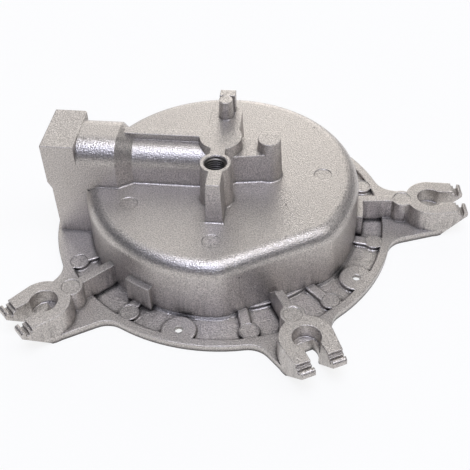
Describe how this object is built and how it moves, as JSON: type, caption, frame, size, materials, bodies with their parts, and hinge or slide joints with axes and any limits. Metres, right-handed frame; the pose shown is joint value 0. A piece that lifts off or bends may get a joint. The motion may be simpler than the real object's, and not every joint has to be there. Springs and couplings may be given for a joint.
{
  "type": "gas burner body",
  "caption": "Die-cast burner cup for a gas hob, upside down, with a gas tube across its base, a threaded boss, a locating peg and snap-in clip arms on its flange.",
  "frame": {"origin": "cup axis in the plane of the mouth flange's face, which the part lies on", "axes": "+Z to the underside, away from the mouth; -X to the gas inlet; -Y to the threaded boss"},
  "size_m": [0.1258, 0.1116, 0.0379],
  "materials": {
    "burner_body": "as cast"
  },
  "bodies": {
    "root": {"burner_body": "burner_body"}
  },
  "joints": []
}
